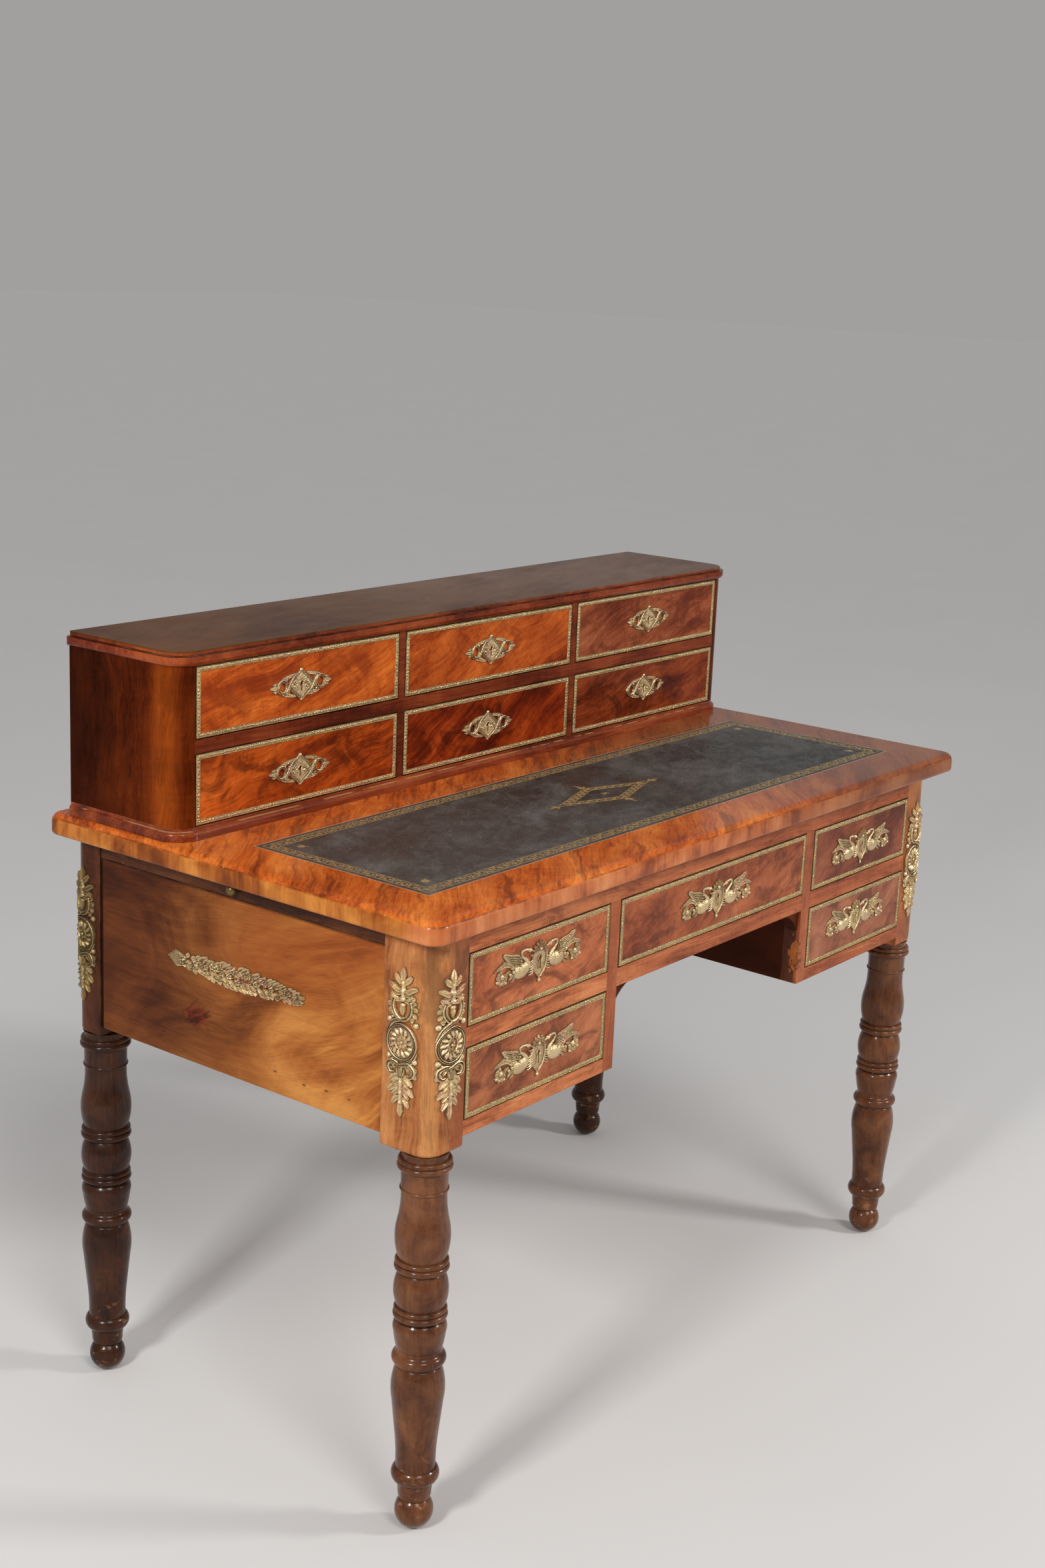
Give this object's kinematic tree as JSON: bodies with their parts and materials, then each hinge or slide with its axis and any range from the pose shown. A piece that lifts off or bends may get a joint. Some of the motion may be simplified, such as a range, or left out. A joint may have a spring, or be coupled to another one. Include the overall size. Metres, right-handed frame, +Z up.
{
  "type": "stepped desk",
  "caption": "Writing desk on turned legs with a kneehole, a leather-lined top, a tier of small drawers along the back and pull-out side slides.",
  "frame": {"origin": "on the floor under the middle of the table top", "axes": "+X to the right of a person facing the front, +Y from the front to the back, +Z up"},
  "size_m": [1.18, 0.632, 0.99],
  "materials": {
    "mahogany": "French-polished figured mahogany veneer",
    "oak": "plain waxed oak",
    "brass": "aged gilt brass",
    "leather": "black leather with gilt tooling"
  },
  "bodies": {
    "carcass": {"desk_top": "mahogany", "leg_front_left": "mahogany", "leg_front_right": "mahogany", "leg_rear_left": "mahogany", "leg_rear_right": "mahogany", "front_posts": "mahogany", "rear_posts": "mahogany", "side_panel_left": "mahogany", "side_panel_right": "mahogany", "front_rails": "mahogany", "front_stiles": "mahogany", "kneehole_panels": "mahogany", "kneehole_brackets": "mahogany", "tier_base": "mahogany", "tier_sides": "mahogany", "tier_top": "mahogany", "back_panel": "oak", "drawer_runners": "oak", "tier_back": "oak", "tier_dividers": "oak", "writing_leather": "leather", "corner_mounts": "brass", "side_garlands": "brass"},
    "left_upper_drawer": {"left_upper_drawer_front": "mahogany", "left_upper_drawer_box": "oak", "left_upper_drawer_fittings": "brass"},
    "left_lower_drawer": {"left_lower_drawer_front": "mahogany", "left_lower_drawer_box": "oak", "left_lower_drawer_fittings": "brass"},
    "centre_drawer": {"centre_drawer_front": "mahogany", "centre_drawer_box": "oak", "centre_drawer_fittings": "brass"},
    "right_upper_drawer": {"right_upper_drawer_front": "mahogany", "right_upper_drawer_box": "oak", "right_upper_drawer_fittings": "brass"},
    "right_lower_drawer": {"right_lower_drawer_front": "mahogany", "right_lower_drawer_box": "oak", "right_lower_drawer_fittings": "brass"},
    "tier_upper_left_drawer": {"tier_upper_left_drawer_front": "mahogany", "tier_upper_left_drawer_box": "oak", "tier_upper_left_drawer_fittings": "brass"},
    "tier_lower_left_drawer": {"tier_lower_left_drawer_front": "mahogany", "tier_lower_left_drawer_box": "oak", "tier_lower_left_drawer_fittings": "brass"},
    "tier_upper_centre_drawer": {"tier_upper_centre_drawer_front": "mahogany", "tier_upper_centre_drawer_box": "oak", "tier_upper_centre_drawer_fittings": "brass"},
    "tier_lower_centre_drawer": {"tier_lower_centre_drawer_front": "mahogany", "tier_lower_centre_drawer_box": "oak", "tier_lower_centre_drawer_fittings": "brass"},
    "tier_upper_right_drawer": {"tier_upper_right_drawer_front": "mahogany", "tier_upper_right_drawer_box": "oak", "tier_upper_right_drawer_fittings": "brass"},
    "tier_lower_right_drawer": {"tier_lower_right_drawer_front": "mahogany", "tier_lower_right_drawer_box": "oak", "tier_lower_right_drawer_fittings": "brass"},
    "side_slide_left": {"side_slide_left": "mahogany", "slide_knob_left": "brass"},
    "side_slide_right": {"side_slide_right": "mahogany", "slide_knob_right": "brass"}
  },
  "joints": [
    {"name": "left_upper_drawer_pull", "type": "slide", "parent": "carcass", "child": "left_upper_drawer", "axis": [0, -1, 0], "range_m": [0, 0.4]},
    {"name": "left_lower_drawer_pull", "type": "slide", "parent": "carcass", "child": "left_lower_drawer", "axis": [0, -1, 0], "range_m": [0, 0.4]},
    {"name": "centre_drawer_pull", "type": "slide", "parent": "carcass", "child": "centre_drawer", "axis": [0, -1, 0], "range_m": [0, 0.4]},
    {"name": "right_upper_drawer_pull", "type": "slide", "parent": "carcass", "child": "right_upper_drawer", "axis": [0, -1, 0], "range_m": [0, 0.4]},
    {"name": "right_lower_drawer_pull", "type": "slide", "parent": "carcass", "child": "right_lower_drawer", "axis": [0, -1, 0], "range_m": [0, 0.4]},
    {"name": "tier_upper_left_drawer_pull", "type": "slide", "parent": "carcass", "child": "tier_upper_left_drawer", "axis": [0, -1, 0], "range_m": [0, 0.11]},
    {"name": "tier_lower_left_drawer_pull", "type": "slide", "parent": "carcass", "child": "tier_lower_left_drawer", "axis": [0, -1, 0], "range_m": [0, 0.11]},
    {"name": "tier_upper_centre_drawer_pull", "type": "slide", "parent": "carcass", "child": "tier_upper_centre_drawer", "axis": [0, -1, 0], "range_m": [0, 0.11]},
    {"name": "tier_lower_centre_drawer_pull", "type": "slide", "parent": "carcass", "child": "tier_lower_centre_drawer", "axis": [0, -1, 0], "range_m": [0, 0.11]},
    {"name": "tier_upper_right_drawer_pull", "type": "slide", "parent": "carcass", "child": "tier_upper_right_drawer", "axis": [0, -1, 0], "range_m": [0, 0.11]},
    {"name": "tier_lower_right_drawer_pull", "type": "slide", "parent": "carcass", "child": "tier_lower_right_drawer", "axis": [0, -1, 0], "range_m": [0, 0.11]},
    {"name": "side_slide_left_pull", "type": "slide", "parent": "carcass", "child": "side_slide_left", "axis": [-1, 0, 0], "range_m": [0, 0.32]},
    {"name": "side_slide_right_pull", "type": "slide", "parent": "carcass", "child": "side_slide_right", "axis": [1, 0, 0], "range_m": [0, 0.32]}
  ]
}
